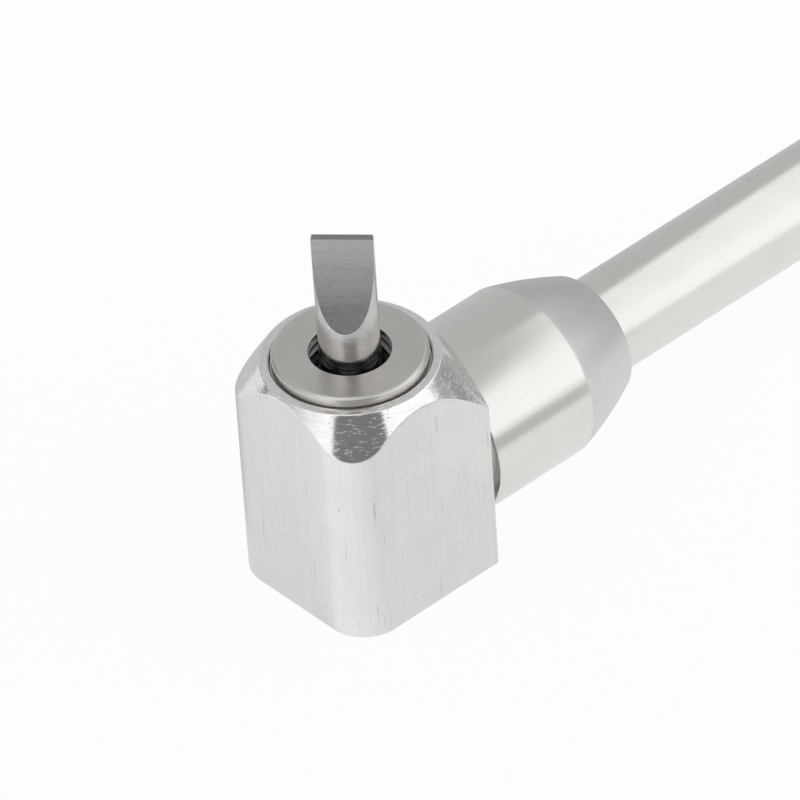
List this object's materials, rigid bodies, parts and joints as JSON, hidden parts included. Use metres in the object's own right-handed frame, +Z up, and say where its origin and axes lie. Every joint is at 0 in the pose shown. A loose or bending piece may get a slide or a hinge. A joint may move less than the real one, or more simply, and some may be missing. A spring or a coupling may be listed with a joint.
{
  "type": "carburetor adjustment tool",
  "caption": "Right-angle screwdriver: a knob on a slim tube turns a flat bit square to it through mitre gears in an aluminium head block.",
  "frame": {"origin": "on the head block's base, under the axis that the bit turns about", "axes": "+Z up along the bit, +X along the tube towards the knob"},
  "size_m": [0.2717, 0.02, 0.0382],
  "materials": {
    "block_aluminium": "satin extruded bar with a turned chamfer",
    "turned_aluminium": "fine turned",
    "tube_aluminium": "satin drawn tube",
    "knob_aluminium": "knurled",
    "bush_steel": "satin turned",
    "spindle_steel": "turned",
    "bit_steel": "ground blade and turned neck",
    "gear_steel": "cut",
    "screw_steel": "blackened",
    "bronze": "turned bronze",
    "nylon": "plain",
    "magnet": "nickel plated"
  },
  "bodies": {
    "head_and_tube": {"head_block": "block_aluminium", "spindle_bush": "bush_steel", "spindle_thrust_washer": "bronze", "spindle_pilot_bush": "bronze", "collar": "turned_aluminium", "tube": "tube_aluminium", "front_shaft_bush": "bronze", "front_thrust_washer": "bronze", "shaft_guide": "nylon", "rear_shaft_bush": "bronze", "knob_washer": "bronze"},
    "knob_and_shaft": {"drive_shaft": "spindle_steel", "drive_gear": "gear_steel", "drive_gear_pin": "gear_steel", "knob": "knob_aluminium", "knob_set_screw": "screw_steel"},
    "output_spindle": {"spindle": "spindle_steel", "driven_gear": "gear_steel", "driven_gear_pin": "gear_steel", "bit_magnet": "magnet"},
    "screwdriver_bit": {"bit": "bit_steel"}
  },
  "joints": [
    {"name": "knob_spin", "type": "hinge", "parent": "head_and_tube", "child": "knob_and_shaft", "pos_m": [0.25, 0, 0.01], "axis": [1, 0, 0], "continuous": true},
    {"name": "spindle_spin", "type": "hinge", "parent": "head_and_tube", "child": "output_spindle", "pos_m": [0, 0, 0.02], "axis": [0, 0, 1], "continuous": true},
    {"name": "bit_pull", "type": "slide", "parent": "output_spindle", "child": "screwdriver_bit", "axis": [0, 0, 1], "range_m": [0, 0.0075]}
  ],
  "couplings": [
    {"joint": "spindle_spin", "follows": "knob_spin", "ratio": -1}
  ]
}
